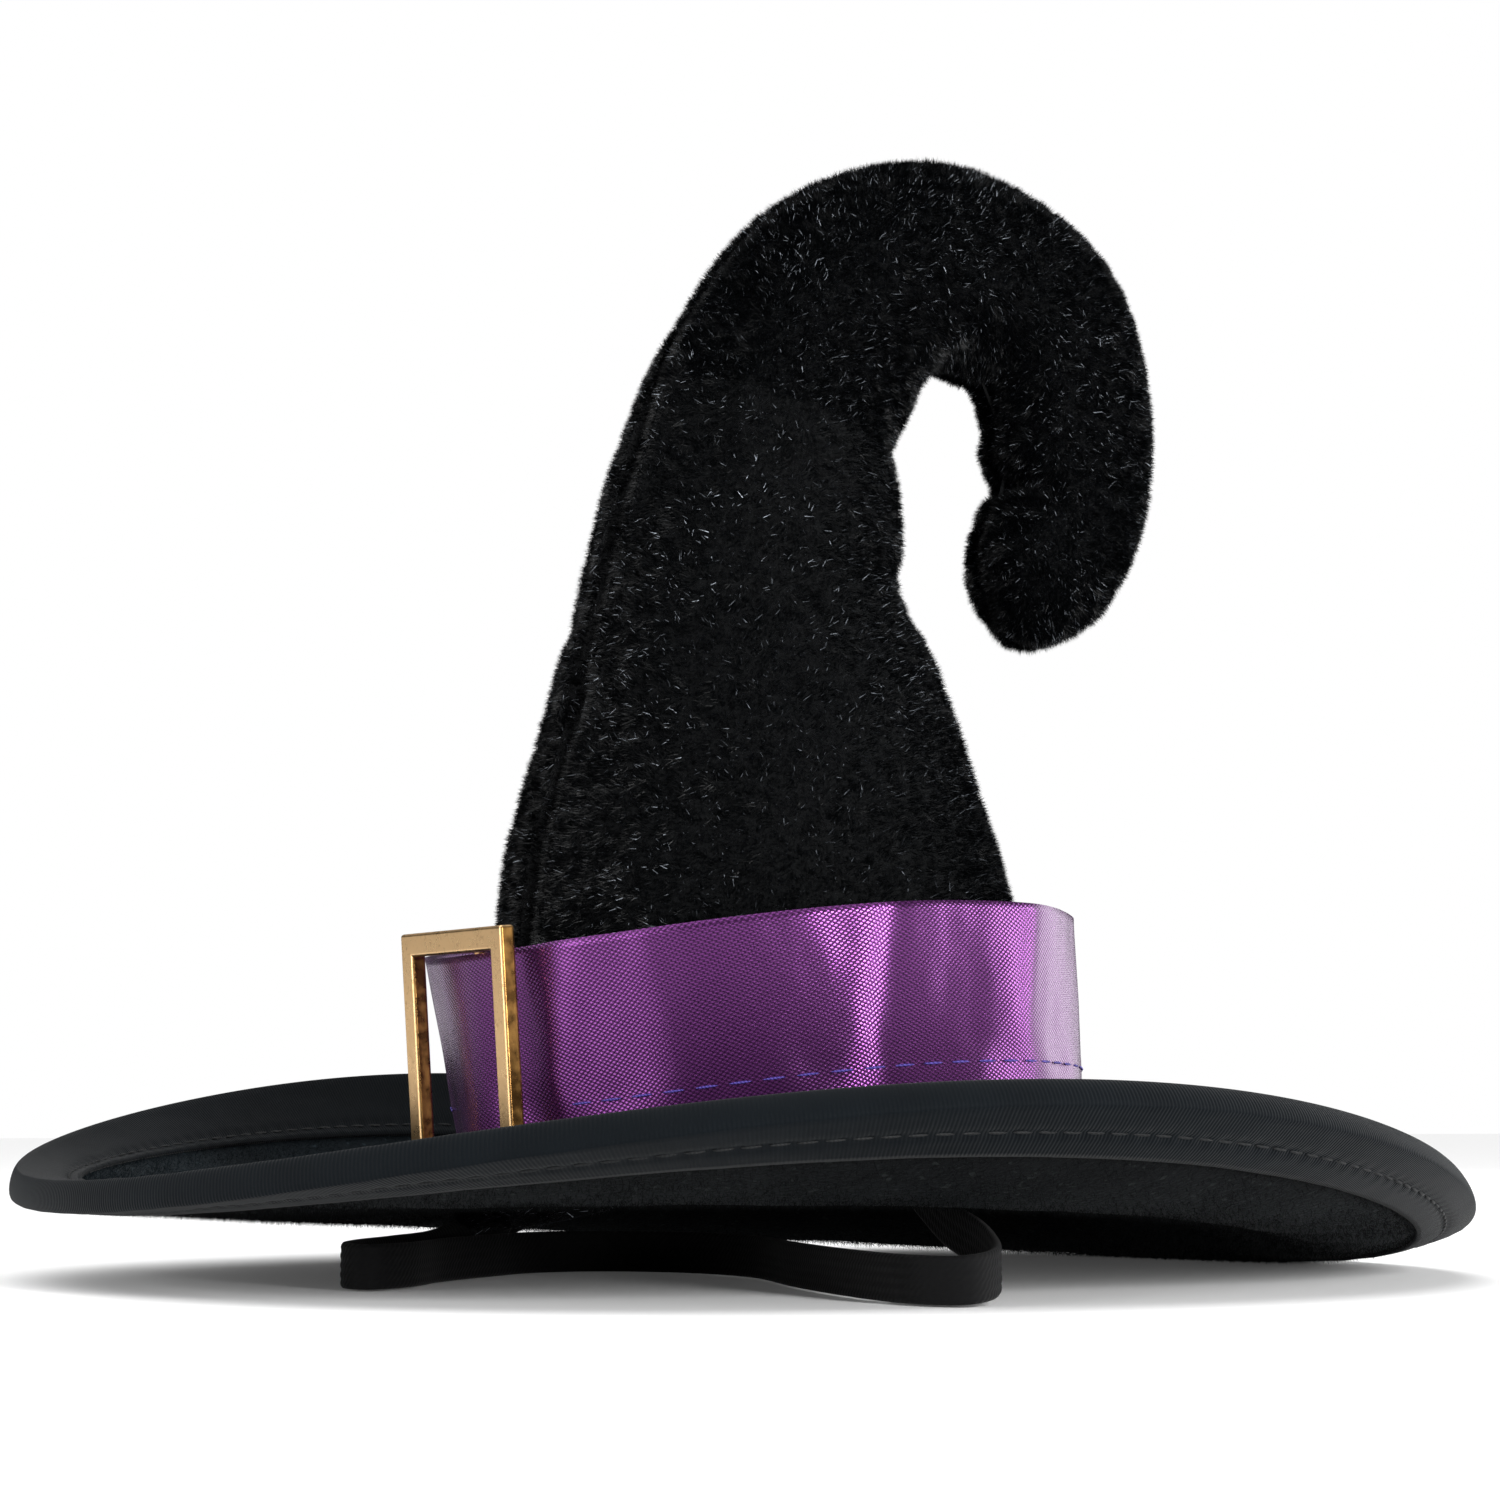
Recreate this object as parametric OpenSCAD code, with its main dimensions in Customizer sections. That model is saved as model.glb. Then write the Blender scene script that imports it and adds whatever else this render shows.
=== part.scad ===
// Small felt-and-plush witch hat with a curled, stuffed crown, a saddle-bent
// bound brim, a ribbon band with a slide buckle and a flat elastic chin strap.
// Millimetres, +Z up. The buckle faces -Y, the tip curls over towards +Y and
// the brim stands on z = 0. Angles run from +X towards +Y.

/* [Crown] */
// Radius of the crown where it is sewn to the brim
seam_r = 43.5; // [43.4:0.1:43.8]
// Thickness of the plush cloth without its pile
plush_t = 1.2; // [0.8:0.1:1.6]
// Gap between the plush and the stuffing, filled by the seam threads
seam_gap = 0.9; // [0.8:0.1:1.2]
// Thickness of the lining disc that closes the crown
lining_t = 1; // [0.6:0.1:1.4]

/* [Brim] */
// Width of the flat brim ring before it is bent
brim_w = 60; // [56:1:62]
// Thickness of each felt layer
felt_t = 1.2; // [0.8:0.1:1.5]
// Thickness of the stiffening layer between the felts
stiffener_t = 0.6; // [0.4:0.1:1]
// Width of each leg of the folded edge tape
tape_w = 8.5; // [6:0.5:10]
// Thickness of the edge tape
tape_t = 0.5; // [0.4:0.1:0.7]

/* [Band] */
// Width of the satin ribbon
band_w = 25; // [22:0.5:26]
// Thickness of the folded ribbon
band_t = 0.5; // [0.4:0.1:0.6]
// How far the ribbon's upper edge stands out past its lower edge
band_flare = 1.7; // [1:0.1:2]

/* [Buckle] */
// Outer width of the buckle frame
buckle_w = 28.5; // [27:0.5:30]
// Width of the frame's bars
bar_w = 3.2; // [2.6:0.1:3.6]
// Depth of the frame's bars
bar_d = 2.2; // [1.8:0.1:2.4]
// Diameter of the centre bar that the ribbon passes over
pin_d = 1.6; // [1.2:0.1:1.7]
// Forward lean of the buckle, in degrees
buckle_lean = 4; // [0:0.5:5]

/* [Strap] */
// Width of the flat elastic
strap_w = 6; // [5:0.5:6]
// Thickness of the flat elastic
strap_t = 1.2; // [1:0.1:1.4]

/* [Hidden] */

turns = 60;                 // steps round the brim and the band
rise = 32;                  // steps along the crown
thread_r = 0.3;             // sewing thread
touch = 0.05;               // hairline between pieces that are sewn together
seam_c = [0, 2.6];          // centre of the crown seam in plan
edge_c = [-3.7, 2.75];      // centre of the brim's outer edge in plan
band_r = 43.9;              // outer radius of the ribbon's lower edge
brim_half = felt_t + stiffener_t / 2;

// Crown centre line in the YZ plane, from the seam to the tip: [y, z, radius].
SPINE = [
    [2.6, 18.5, 43.4], [2, 26, 42.2], [0.8, 36, 39], [0, 48, 36.4], [-0.6, 60, 34],
    [-0.8, 73, 30.2], [-1.4, 87, 25.8], [-1, 100, 22], [0.6, 111, 20.2],
    [4, 124, 18.4], [13, 139, 16.4], [29.5, 147, 15.4], [46.5, 142, 14.2],
    [53, 128, 12.8], [53.5, 117, 12], [50.5, 108, 11.6], [46.5, 101, 10.4],
    [43.5, 96.5, 7.2], [41.5, 94.5, 2.5]
];

// Strap route, sewn end to sewn end, laid on the surface on its edge: [x, y, z].
STRAP = [
    [46, -2, 15.1], [51, -2, 11.5], [58, -3, 8.6], [69, -5, 6.2], [80, -10, 4], [85, -17, 3.2],
    [78, -21, 3.1], [60, -19, 3.1], [38, -14, 3.1], [14, -7, 3.1], [-2, -8, 3.1],
    [-13, -16, 3.1], [-14, -27, 3.1], [-6, -38, 3.1], [4, -49, 3.1], [15, -58, 3.1],
    [19, -65, 3.1], [13, -66, 3.1], [2, -60, 3.1], [-10, -50, 3.1], [-22, -39, 3.4],
    [-31, -29, 5.4], [-40, -17, 8.6], [-46, -3, 13]
];
strap_rings = 60;

front = -85;                // where the front seam and the buckle sit, in degrees from +X

// ---- curves ----

function wave(a, mean, c1, s1, c2) = mean + c1 * cos(a) + s1 * sin(a) + c2 * cos(2 * a);
// Heights of the brim's middle layer at the seam, half way out and at the edge.
function seam_z(a) = wave(a, 19.7, 0.25, 5.1, 2.9);
function trough_z(a) = wave(a, 8.05, 3.25, -3.5, 0.75);
function edge_z(a) = wave(a, 17, -1.5, -4, 9);
// Height of the ribbon's lower edge, and its bulge over the buckle's centre bar.
function band_z(a) = wave(a, 22.9, 0.25, 2.75, 1.7);
function band_bulge(a) = 2.6 * pow(max(0, cos(5 * (a - front))), 2) * (cos(a - front) > 0.9 ? 1 : 0);

// Catmull-Rom value at t (0 to 1) along a list of points.
function spline(p, t) =
    let (m = len(p) - 1, k = min(floor(t * m), m - 1), f = t * m - k,
         b = p[k], c = p[k + 1],
         a = k > 0 ? p[k - 1] : 2 * b - c,
         d = k < m - 1 ? p[k + 2] : 2 * c - b)
    0.5 * (2 * b + (c - a) * f + (2 * a - 5 * b + 4 * c - d) * f * f
           + (3 * b - a - 3 * c + d) * f * f * f);
function unit(v) = v / norm(v);

// Crown surface at t along the centre line and angle q round it, set in by n.
// The foot of the crown follows the waved seam, and the wave dies out upwards.
function crown_pt(t, q, n) =
    let (s = spline(SPINE, t), e = spline(SPINE, min(t + 0.002, 1)),
         g = spline(SPINE, max(t - 0.002, 0)),
         w = unit([e[0] - g[0], e[1] - g[1]]),
         r = max(s[2] - n, 0.6),
         fade = pow(max(0, 1 - t / 0.2), 2))
    [r * cos(q),
     s[0] + r * sin(q) * w[1],
     s[1] - r * sin(q) * w[0] + fade * (seam_z(q) - brim_half - SPINE[0][1])];

// Plan radius of the bent edge: the flat width less what the bend takes up.
function slope_in(a) = (4 * trough_z(a) - 3 * seam_z(a) - edge_z(a)) / brim_w;
function slope_out(a) = (3 * edge_z(a) + seam_z(a) - 4 * trough_z(a)) / brim_w;
function edge_r(a) =
    let (i = slope_in(a), o = slope_out(a))
    seam_r + brim_w / (1 + (i * i + i * o + o * o) / 6);

// Brim surface: s runs from 0 at the seam to 1 at the edge, n is the offset up.
function brim_mid(a, s) =
    let (z0 = seam_z(a), z1 = trough_z(a), z2 = edge_z(a),
         p = (1 - s) * (seam_c + seam_r * [cos(a), sin(a)]) + s * (edge_c + edge_r(a) * [cos(a), sin(a)]))
    [p[0], p[1], z0 + s * (4 * z1 - 3 * z0 - z2) + 2 * s * s * (z0 - 2 * z1 + z2)];
function brim_up(a, s) =
    unit(cross(brim_mid(a, s + 0.01) - brim_mid(a, s - 0.01),
               brim_mid(a + 0.5, s) - brim_mid(a - 0.5, s)));
// The offset turns upright at the seam, where the brim meets the crown's foot.
function brim_pt(a, s, n) =
    let (b = min(1, max(0, s) / 0.08))
    brim_mid(a, s) + n * unit(b * brim_up(a, s) + (1 - b) * [0, 0, 1]);

// Ribbon wall: h runs from 0 at its lower edge to 1 at its upper edge, n is the inset.
function band_pt(a, h, n) =
    let (r = band_r + band_flare * h + band_bulge(a) * (1 - h) - n)
    [r * cos(a), seam_c[1] - 3 * h + r * sin(a), band_z(a) + h * band_w];

// Directions along the strap at u, across its faces, and up its width.
function strap_dir(u) = unit(spline(STRAP, min(u + 0.01, 1)) - spline(STRAP, max(u - 0.01, 0)));
function strap_side(u) = unit(cross(strap_dir(u), [0, 0, 1]));
function strap_up(u) = cross(strap_side(u), strap_dir(u));

// ---- solids from grids of points ----

// Closed ring: each row is one section, the rows go round and join up. The section's
// steps in back, its second half unless given, are split the other way, so that
// stacked layers share their facets.
module ring_solid(rows, back = undef) {
    n = len(rows);
    m = len(rows[0]);
    turned = is_undef(back) ? [for (j = [ceil(m / 2):m - 1]) j] : back;
    polyhedron([for (row = rows, p = row) p],
        [for (i = [0:n - 1], j = [0:m - 1])
            let (i2 = (i + 1) % n, j2 = (j + 1) % m,
                 a = i * m + j, b = i * m + j2, c = i2 * m + j2, d = i2 * m + j)
            each (len(search(j, turned)) == 0 ? [[a, b, c], [a, c, d]] : [[a, b, d], [b, c, d]])]);
}

// Open tube: each row is one section of an even count, the ends are capped in strips.
module tube_solid(rows) {
    n = len(rows);
    m = len(rows[0]);
    polyhedron([for (row = rows, p = row) p],
        [for (i = [0:n - 2], j = [0:m - 1])
            let (j2 = (j + 1) % m)
            each [[i * m + j, (i + 1) * m + j2, i * m + j2], [i * m + j, (i + 1) * m + j, (i + 1) * m + j2]],
         for (j = [0:floor(m / 2) - 2])
            let (a = j, b = j + 1, c = m - 2 - j, d = m - 1 - j, e = (n - 1) * m)
            each [[a, b, c], [a, c, d], [a + e, c + e, b + e], [a + e, d + e, c + e]]]);
}

function circle_pts(k) = [for (i = [0:k - 1]) [cos(i * 360 / k), sin(i * 360 / k)]];

// One layer of the brim between two offsets. Its rows have a break at the tape's inner edge.
module brim_layer(low, high) {
    s = [0, 0.06, 0.2, 0.38, 0.56, 0.72, 1 - tape_w / brim_w, 1];
    m = len(s) - 1;
    ring_solid([for (k = [0:turns - 1]) let (a = k * 360 / turns) concat(
        [for (i = [0:m]) brim_pt(a, s[i], low)],
        [for (i = [m:-1:0]) brim_pt(a, s[i], high)])]);
}

// Thread laid round the brim at s and offset n.
module brim_thread(s, n) {
    ring_solid([for (k = [0:turns - 1]) let (a = k * 360 / turns)
        [for (c = circle_pts(4)) brim_pt(a, s + thread_r * c[0] / brim_w, n + thread_r * c[1])]]);
}

// One plush panel, from the seam at angle start half way round to the other seam.
module crown_panel(start) {
    steps = 12;
    q = [for (i = [0:steps]) start + 90 + 90 * (2 * i / steps - 1) * (1 - touch / 60)];
    rows = [for (k = [0:rise]) concat(
        [for (i = [0:steps]) crown_pt(k / rise, q[i], 0)],
        [for (i = [steps:-1:0]) crown_pt(k / rise, q[i], plush_t)])];
    color("#14171a") tube_solid(rows);
}

// Thread that closes the plush on the inside, at angle q.
module seam_thread(q) {
    tube_solid([for (k = [0:rise - 1])
        [for (c = circle_pts(4))
            crown_pt(k / rise, q, plush_t + 1.6 * thread_r - thread_r * c[1]) + [sign(q) * thread_r * c[0], 0, 0]]]);
}

// ---- the pieces ----

module crown_panel_right() { crown_panel(front); }

module crown_panel_left() { crown_panel(front + 180); }

module crown_stuffing() {
    k = 20;
    color("#e8e6e0") tube_solid([for (i = [2:rise - 1])
        [for (j = [0:k - 1]) crown_pt(i / rise, j * 360 / k, plush_t + seam_gap)]]);
}

module front_seam_thread() { color("#202326") seam_thread(front); }

module back_seam_thread() { color("#202326") seam_thread(front + 180); }

// Disc of lining cloth across the foot of the stuffing, sewn to the brim's inner edge.
module crown_lining() {
    r = SPINE[0][2] - plush_t - 1;
    mid = 17;
    color("#1b1e20") ring_solid([for (k = [0:turns - 1]) let (a = k * 360 / turns)
        [for (p = [[0, -1], [0.5, -1], [1, -1], [1, 1], [0.5, 1], [0, 1]])
            let (e = max(p[0], 0.01), z = p[0] * seam_z(a) + (1 - p[0]) * mid)
            [seam_c[0] + e * r * cos(a), seam_c[1] + e * r * sin(a), z + p[1] * lining_t / 2 - 0.6]]]);
}

module brim_top_felt() {
    color("#1d2529") brim_layer(stiffener_t / 2 + touch, brim_half);
}

module brim_stiffener() {
    color("#3a3d3f") brim_layer(-stiffener_t / 2, stiffener_t / 2);
}

module brim_under_felt() {
    color("#181a1b") brim_layer(-brim_half, -stiffener_t / 2 - touch);
}

// Tape folded over the edge: a U section that follows the bent edge.
module brim_tape() {
    leg = 1 - tape_w / brim_w;
    inner = brim_half + 2 * touch;
    outer = inner + tape_t;
    out = 1 + 2 * touch / brim_w;
    fold = out + tape_t / brim_w;
    color("#2b3133") ring_solid([for (k = [0:turns - 1]) let (a = k * 360 / turns)
        [for (p = [[leg, -outer], [1, -outer], [fold, -outer / 2], [fold, outer / 2], [1, outer],
                   [leg, outer], [leg, inner], [out, inner], [out, -inner], [leg, -inner]])
            brim_pt(a, p[0], p[1])]], back = [4, 8]);
}

module tape_stitch_top() {
    color("#1a1d1f") brim_thread(1 - 0.8 * tape_w / brim_w, brim_half + tape_t + thread_r + 6 * touch);
}

module tape_stitch_under() {
    color("#1a1d1f") brim_thread(1 - 0.5 * tape_w / brim_w, -brim_half - tape_t - thread_r - 4 * touch);
}

module hat_band() {
    color("#6b2a86") ring_solid([for (k = [0:turns - 1]) let (a = k * 360 / turns)
        [band_pt(a, 0, band_t), band_pt(a, 0, 0), band_pt(a, 0.5, 0), band_pt(a, 1, 0),
         band_pt(a, 1, band_t), band_pt(a, 0.5, band_t)]]);
}

// Running stitch along the ribbon's lower edge, broken where the buckle sits.
module band_stitch() {
    h = 4 / band_w;
    half = 24;
    color("#5a49b8") tube_solid([for (k = [0:turns]) let (a = front + half + k * (360 - 2 * half) / turns)
        [for (c = circle_pts(4))
            band_pt(a, h - thread_r * c[1] / band_w, -thread_r * (1 + c[0]) - touch)]]);
}

// Slide buckle: a square frame in front of the ribbon and a round centre bar behind it.
module buckle() {
    slot_h = band_w + 1.2;
    frame_h = slot_h + 2 * bar_w;
    back = -44.3;
    pin_y = -41.9;
    foot = 14.6;
    color("#c79a55") translate(seam_c) rotate(front + 90) translate(-seam_c)
    translate([0, pin_y, foot]) rotate([buckle_lean, 0, 0]) translate([0, -pin_y, 0]) {
        difference() {
            translate([-buckle_w / 2, back - bar_d, 0]) cube([buckle_w, bar_d, frame_h]);
            translate([-buckle_w / 2 + bar_w, back - bar_d - 1, bar_w])
                cube([buckle_w - 2 * bar_w, bar_d + 2, slot_h]);
        }
        for (z = [bar_w - 1.6, bar_w + slot_h])
            translate([-1.6, back - 0.3, z]) cube([3.2, pin_y - back + 1.2, 1.6]);
        translate([0, pin_y, bar_w - 0.8]) cylinder(d = pin_d, h = slot_h + 1.6, $fn = 48);
    }
}

// Flat elastic standing on its edge, swept along its route.
module chin_strap() {
    w = strap_w / 2;
    t = strap_t / 2;
    section = [[0, w], [t, 0.8 * w], [t, 0], [t, -0.8 * w], [0, -w], [-t, -0.8 * w], [-t, 0], [-t, 0.8 * w]];
    color("#0d0e10") tube_solid([for (k = [0:strap_rings - 1])
        let (u = k / (strap_rings - 1), p = spline(STRAP, u), side = strap_side(u), up = strap_up(u))
        [for (c = section) p + c[0] * side + c[1] * up]]);
}

// Bar tack of thread through the top of a strap end and the under felt.
module strap_tack(u) {
    color("#15171a") translate(spline(STRAP, u) + (strap_w / 2 - 0.4) * strap_up(u))
        cube([1.8, 4, 1.8], center = true);
}

module strap_tack_right() { strap_tack(0); }

module strap_tack_left() { strap_tack(1); }

crown_panel_right();
crown_panel_left();
crown_stuffing();
front_seam_thread();
back_seam_thread();
crown_lining();
brim_top_felt();
brim_stiffener();
brim_under_felt();
brim_tape();
tape_stitch_top();
tape_stitch_under();
hat_band();
band_stitch();
buckle();
chin_strap();
strap_tack_right();
strap_tack_left();
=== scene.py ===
import math
import bpy
import bmesh
from mathutils import Matrix, Vector, noise


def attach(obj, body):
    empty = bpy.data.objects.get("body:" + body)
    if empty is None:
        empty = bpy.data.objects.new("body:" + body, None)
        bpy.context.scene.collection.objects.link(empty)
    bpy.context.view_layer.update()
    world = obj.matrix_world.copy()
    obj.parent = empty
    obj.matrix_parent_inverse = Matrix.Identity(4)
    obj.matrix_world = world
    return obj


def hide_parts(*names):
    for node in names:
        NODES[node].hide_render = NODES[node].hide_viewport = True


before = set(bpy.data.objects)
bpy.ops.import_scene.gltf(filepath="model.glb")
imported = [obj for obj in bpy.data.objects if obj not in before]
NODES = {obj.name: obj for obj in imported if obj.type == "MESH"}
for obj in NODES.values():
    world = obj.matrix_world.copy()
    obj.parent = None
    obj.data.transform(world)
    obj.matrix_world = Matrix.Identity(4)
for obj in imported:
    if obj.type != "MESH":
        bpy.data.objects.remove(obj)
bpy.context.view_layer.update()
MM = 0.001

# ---- Camera: a long lens a little above the table, turned off the buckle's side ----
# The hat stands with its front toward -Y, and its curled tip falls back toward +Y.

cam_azimuth = math.radians(62)
cam_distance = 480 * MM
cam_height = 22 * MM
cam_aim = Vector((0, 0, 73.9 * MM)) - 0.5 * MM * Vector((math.cos(cam_azimuth), math.sin(cam_azimuth), 0))


def add_object(name, data):
    """A new object in the scene, at the origin and unturned."""
    obj = bpy.data.objects.new(name, data)
    bpy.context.scene.collection.objects.link(obj)
    return obj


camera = add_object("camera", bpy.data.cameras.new("camera"))
camera.location = (cam_distance * math.sin(cam_azimuth), -cam_distance * math.cos(cam_azimuth), cam_height)
camera.rotation_euler = (cam_aim - camera.location).to_track_quat("-Z", "Y").to_euler()
camera.data.sensor_width = 36
camera.data.lens = 81.36
camera.data.clip_start = 0.01
bpy.context.scene.camera = camera


# ---- Chin strap: flat black elastic, sewn to the brim's underside at both sides ----
# Braided elastic 6 mm wide with five raised ribs a side. It hangs slack from its two
# bar tacks and lies on its edge on the table, folded over once at the front.

def linear(hex_colour):
    """An sRGB hex colour as linear RGBA."""
    parts = [int(hex_colour[i:i + 2], 16) / 255 for i in (1, 3, 5)]
    return [p / 12.92 if p < 0.04045 else ((p + 0.055) / 1.055) ** 2.4 for p in parts] + [1]


def node(tree, kind, settings=None, links=None, sockets=None):
    """Adds a node with its properties, socket values and incoming links."""
    n = tree.nodes.new(kind)
    for key, value in (settings or {}).items():
        setattr(n, key, value)
    for key, value in (sockets or {}).items():
        n.inputs[key].default_value = value
    for key, source in (links or {}).items():
        tree.links.new(source, n.inputs[key])
    return n


def new_material(name, **sockets):
    """A material with one Principled shader set to these socket values."""
    m = bpy.data.materials.new(name)
    m.use_nodes = True
    shader = m.node_tree.nodes["Principled BSDF"]
    for key, value in sockets.items():
        shader.inputs[key.replace("_", " ")].default_value = value
    m.diffuse_color = shader.inputs["Base Color"].default_value
    return m, m.node_tree, shader


def mesh_piece(name, verts, faces, material, uv=None):
    """A smooth mesh object with its faces outward as given and, if set, its cloth UVs."""
    mesh = bpy.data.meshes.new(name)
    mesh.from_pydata(verts, [], faces)
    mesh.polygons.foreach_set("use_smooth", [True] * len(mesh.polygons))
    if uv:
        layer = mesh.uv_layers.new(name="cloth")
        for loop in mesh.loops:
            layer.data[loop.index].uv = uv[loop.vertex_index]
    mesh.update()
    mesh.materials.append(material)
    return add_object(name, mesh)


def tube_faces(rings, around):
    """Quads between rings of points that each close on themselves."""
    return [(i * around + j, i * around + (j + 1) % around,
             (i + 1) * around + (j + 1) % around, (i + 1) * around + j)
            for i in range(rings - 1) for j in range(around)]


def baked_mesh(obj):
    """A plain mesh of the object as its modifiers leave it."""
    return bpy.data.meshes.new_from_object(obj.evaluated_get(bpy.context.evaluated_depsgraph_get()))


def spline(points, t):
    """Catmull-Rom value at t (0 to 1) along a list of points."""
    m = len(points) - 1
    k = min(int(t * m), m - 1)
    f = t * m - k
    b, c = Vector(points[k]), Vector(points[k + 1])
    a = Vector(points[k - 1]) if k > 0 else 2 * b - c
    d = Vector(points[k + 2]) if k < m - 1 else 2 * c - b
    curved = (2 * a - 5 * b + 4 * c - d) * f * f
    return 0.5 * (2 * b + (c - a) * f + curved + (3 * b - a - 3 * c + d) * f ** 3)


STRAP = [
    (0.046, -0.002, 0.0151), (0.051, -0.002, 0.0115), (0.058, -0.003, 0.0086), (0.069, -0.005, 0.0062),
    (0.080, -0.010, 0.0040), (0.085, -0.017, 0.0032), (0.078, -0.021, 0.0031), (0.060, -0.019, 0.0031),
    (0.038, -0.014, 0.0031), (0.014, -0.007, 0.0031), (-0.002, -0.008, 0.0031), (-0.013, -0.016, 0.0031),
    (-0.014, -0.027, 0.0031), (-0.006, -0.038, 0.0031), (0.004, -0.049, 0.0031), (0.015, -0.058, 0.0031),
    (0.019, -0.065, 0.0031), (0.013, -0.066, 0.0031), (0.002, -0.060, 0.0031), (-0.010, -0.050, 0.0031),
    (-0.022, -0.039, 0.0034), (-0.031, -0.029, 0.0054), (-0.040, -0.017, 0.0086), (-0.046, -0.003, 0.0130),
]
strap_width = 6 * MM
strap_thickness = 1.2 * MM
strap_ribs = 5
strap_rings = 420
strap_section = 40
underside_uv = 10 * MM

elastic, tree, shader = new_material(
    "woven_elastic", Base_Color=linear("#050506"), Roughness=0.8, Specular_IOR_Level=0.12, Sheen_Weight=0.03)
# Braided polyester over rubber: matt black, with a fine chevron of yarns 0.5 mm apart.
uv = node(tree, "ShaderNodeUVMap", {"uv_map": "cloth"})
yarns = node(tree, "ShaderNodeTexWave", {"bands_direction": "DIAGONAL"}, {"Vector": uv.outputs[0]},
             {"Scale": 640.0, "Distortion": 0.4})
bump = node(tree, "ShaderNodeBump", None, {"Height": yarns.outputs["Fac"]},
            {"Strength": 0.35, "Distance": 0.00012})
tree.links.new(bump.outputs[0], shader.inputs["Normal"])

path = [spline(STRAP, k / (strap_rings - 1)) for k in range(strap_rings)]
section = []
for k in range(strap_section):
    side = 1 if k < strap_section / 2 else -1
    across = 1 - 4 * (k % (strap_section // 2) + 0.5) / strap_section
    rib = abs(math.cos(math.pi * strap_ribs * (across + 1) / 2 + math.pi / 2))
    edge = (1 - abs(across) ** 8) ** 0.5
    half = (0.36 + 0.14 * rib) * strap_thickness * edge
    section.append((side * half, side * across * strap_width / 2))
verts, uvs = [], []
run = 0.0
for k, p in enumerate(path):
    ahead = path[min(k + 2, strap_rings - 1)] - path[max(k - 2, 0)]
    run += (p - path[k - 1]).length if k else 0
    across = ahead.normalized().cross(Vector((0, 0, 1))).normalized()
    up = across.cross(ahead.normalized())
    for j, (n, w) in enumerate(section):
        verts.append(p + n * across + w * up)
        uvs.append((run, w + (underside_uv if n < 0 else 0)))
faces = tube_faces(strap_rings, strap_section)
faces.append(tuple(reversed(range(strap_section))))
faces.append(tuple((strap_rings - 1) * strap_section + j for j in range(strap_section)))
strap = mesh_piece("elastic_chin_strap", verts, faces, elastic, uv=uvs)
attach(strap, "hat")
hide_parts("chin_strap")


# ---- Brim: two layers of felt over a stiff core ----
# Acrylic felt, blue-black above and black below with stray flecks. The layers are
# cut as flat rings, laid on the core and held by the tape folded over the edge.

front_angle = math.radians(-85)
seam_r = 43.5 * MM
brim_w = 60 * MM
felt_t = 1.2 * MM
stiffener_t = 0.6 * MM
brim_half = felt_t + stiffener_t / 2
tape_w = 8.5 * MM
tape_t = 0.5 * MM
seam_c = Vector((0, 2.6 * MM))
edge_c = Vector((-3.7 * MM, 2.75 * MM))


def wave(a, mean, c1, s1, c2):
    """A height in metres round the hat, at angle a in radians, from values in millimetres."""
    return MM * (mean + c1 * math.cos(a) + s1 * math.sin(a) + c2 * math.cos(2 * a))


def seam_height(a):
    """Height of the seam between brim and crown at angle a."""
    return wave(a, 19.7, 0.25, 5.1, 2.9)


def brim_mid(a, s):
    """Middle of the brim at angle a: s is 0 at the crown's seam and 1 at the edge."""
    z0 = seam_height(a)
    z1 = wave(a, 8.05, 3.25, -3.5, 0.75)
    z2 = wave(a, 17, -1.5, -4, 9)
    steep_in = (4 * z1 - 3 * z0 - z2) / brim_w
    steep_out = (3 * z2 + z0 - 4 * z1) / brim_w
    reach = seam_r + brim_w / (1 + (steep_in ** 2 + steep_in * steep_out + steep_out ** 2) / 6)
    out = Vector((math.cos(a), math.sin(a)))
    plan = (1 - s) * (seam_c + seam_r * out) + s * (edge_c + reach * out)
    return Vector((plan.x, plan.y, z0 + s * (4 * z1 - 3 * z0 - z2) + 2 * s * s * (z0 - 2 * z1 + z2)))


def brim_pt(a, s, n):
    """A point at offset n above the middle of the brim."""
    outward = brim_mid(a, s + 0.01) - brim_mid(a, s - 0.01)
    up = outward.cross(brim_mid(a + 0.01, s) - brim_mid(a - 0.01, s))
    b = min(1, max(0, s) / 0.08)
    return brim_mid(a, s) + n * (b * up.normalized() + (1 - b) * Vector((0, 0, 1))).normalized()


def closed_ring(name, rows, material, uvs=None):
    """A ring whose sections go round and join up; every section is a closed loop."""
    n, m = len(rows), len(rows[0])
    ring_faces = [(i * m + j, i * m + (j + 1) % m, (i + 1) % n * m + (j + 1) % m, (i + 1) % n * m + j)
                  for i in range(n) for j in range(m)]
    return mesh_piece(name, [p for row in rows for p in row], ring_faces, material,
                      uv=[u for row in uvs for u in row] if uvs else None)


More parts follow.
